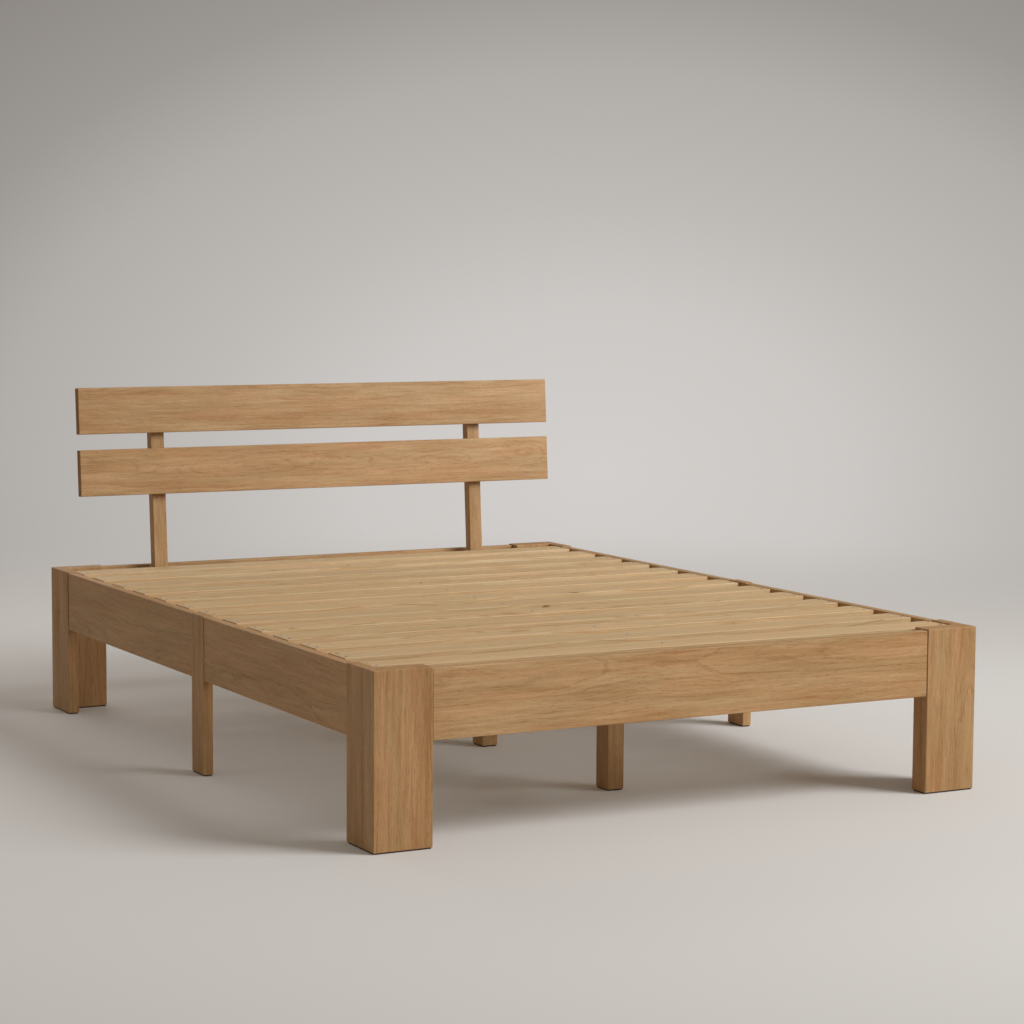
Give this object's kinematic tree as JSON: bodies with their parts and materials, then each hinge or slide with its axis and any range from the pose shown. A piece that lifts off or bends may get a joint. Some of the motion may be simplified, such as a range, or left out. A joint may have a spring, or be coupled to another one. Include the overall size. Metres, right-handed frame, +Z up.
{
  "type": "bed frame",
  "caption": "Double bed frame in light oak with L-shaped corner legs, a split side rail around a middle leg, a slatted base, and a low headboard of horizontal planks that lean back",
  "frame": {"origin": "on the floor, under the middle of the frame's outer width and length", "axes": "+X to the right as seen from the foot end, +Y towards the headboard, +Z up"},
  "size_m": [1.59, 2.1, 0.897],
  "materials": {
    "oak": "satin, lightly oiled, open grain",
    "base_wood": "planed softwood, untreated",
    "steel": "zinc plated, dull",
    "felt": "pressed wool felt"
  },
  "bodies": {
    "root": {"beam_hanger_foot": "steel", "beam_hanger_head": "steel", "centre_beam": "base_wood", "centre_leg_foot": "oak", "centre_leg_head": "oak", "centre_leg_middle": "oak", "corner_bracket_foot_left": "steel", "corner_bracket_foot_right": "steel", "corner_bracket_head_left": "steel", "corner_bracket_head_right": "steel", "corner_leg_end_board_foot_left": "oak", "corner_leg_end_board_foot_right": "oak", "corner_leg_end_board_head_left": "oak", "corner_leg_end_board_head_right": "oak", "corner_leg_side_board_foot_left": "oak", "corner_leg_side_board_foot_right": "oak", "corner_leg_side_board_head_left": "oak", "corner_leg_side_board_head_right": "oak", "felt_pad_centre_foot": "felt", "felt_pad_centre_head": "felt", "felt_pad_centre_middle": "felt", "felt_pad_foot_left": "felt", "felt_pad_foot_right": "felt", "felt_pad_head_left": "felt", "felt_pad_head_right": "felt", "felt_pad_middle_left": "felt", "felt_pad_middle_right": "felt", "foot_rail": "oak", "head_rail": "oak", "headboard_plank_lower": "oak", "headboard_plank_upper": "oak", "headboard_post_left": "oak", "headboard_post_right": "oak", "headboard_wedge_left": "oak", "headboard_wedge_right": "oak", "middle_leg_left": "oak", "middle_leg_right": "oak", "side_rail_left_foot_half": "oak", "side_rail_left_head_half": "oak", "side_rail_right_foot_half": "oak", "side_rail_right_head_half": "oak", "slat_01": "base_wood", "slat_02": "base_wood", "slat_03": "base_wood", "slat_04": "base_wood", "slat_05": "base_wood", "slat_06": "base_wood", "slat_07": "base_wood", "slat_08": "base_wood", "slat_09": "base_wood", "slat_10": "base_wood", "slat_11": "base_wood", "slat_12": "base_wood", "slat_13": "base_wood", "slat_ledger_left_foot_half": "base_wood", "slat_ledger_left_head_half": "base_wood", "slat_ledger_right_foot_half": "base_wood", "slat_ledger_right_head_half": "base_wood", "splice_plate_left": "steel", "splice_plate_right": "steel"}
  },
  "joints": []
}
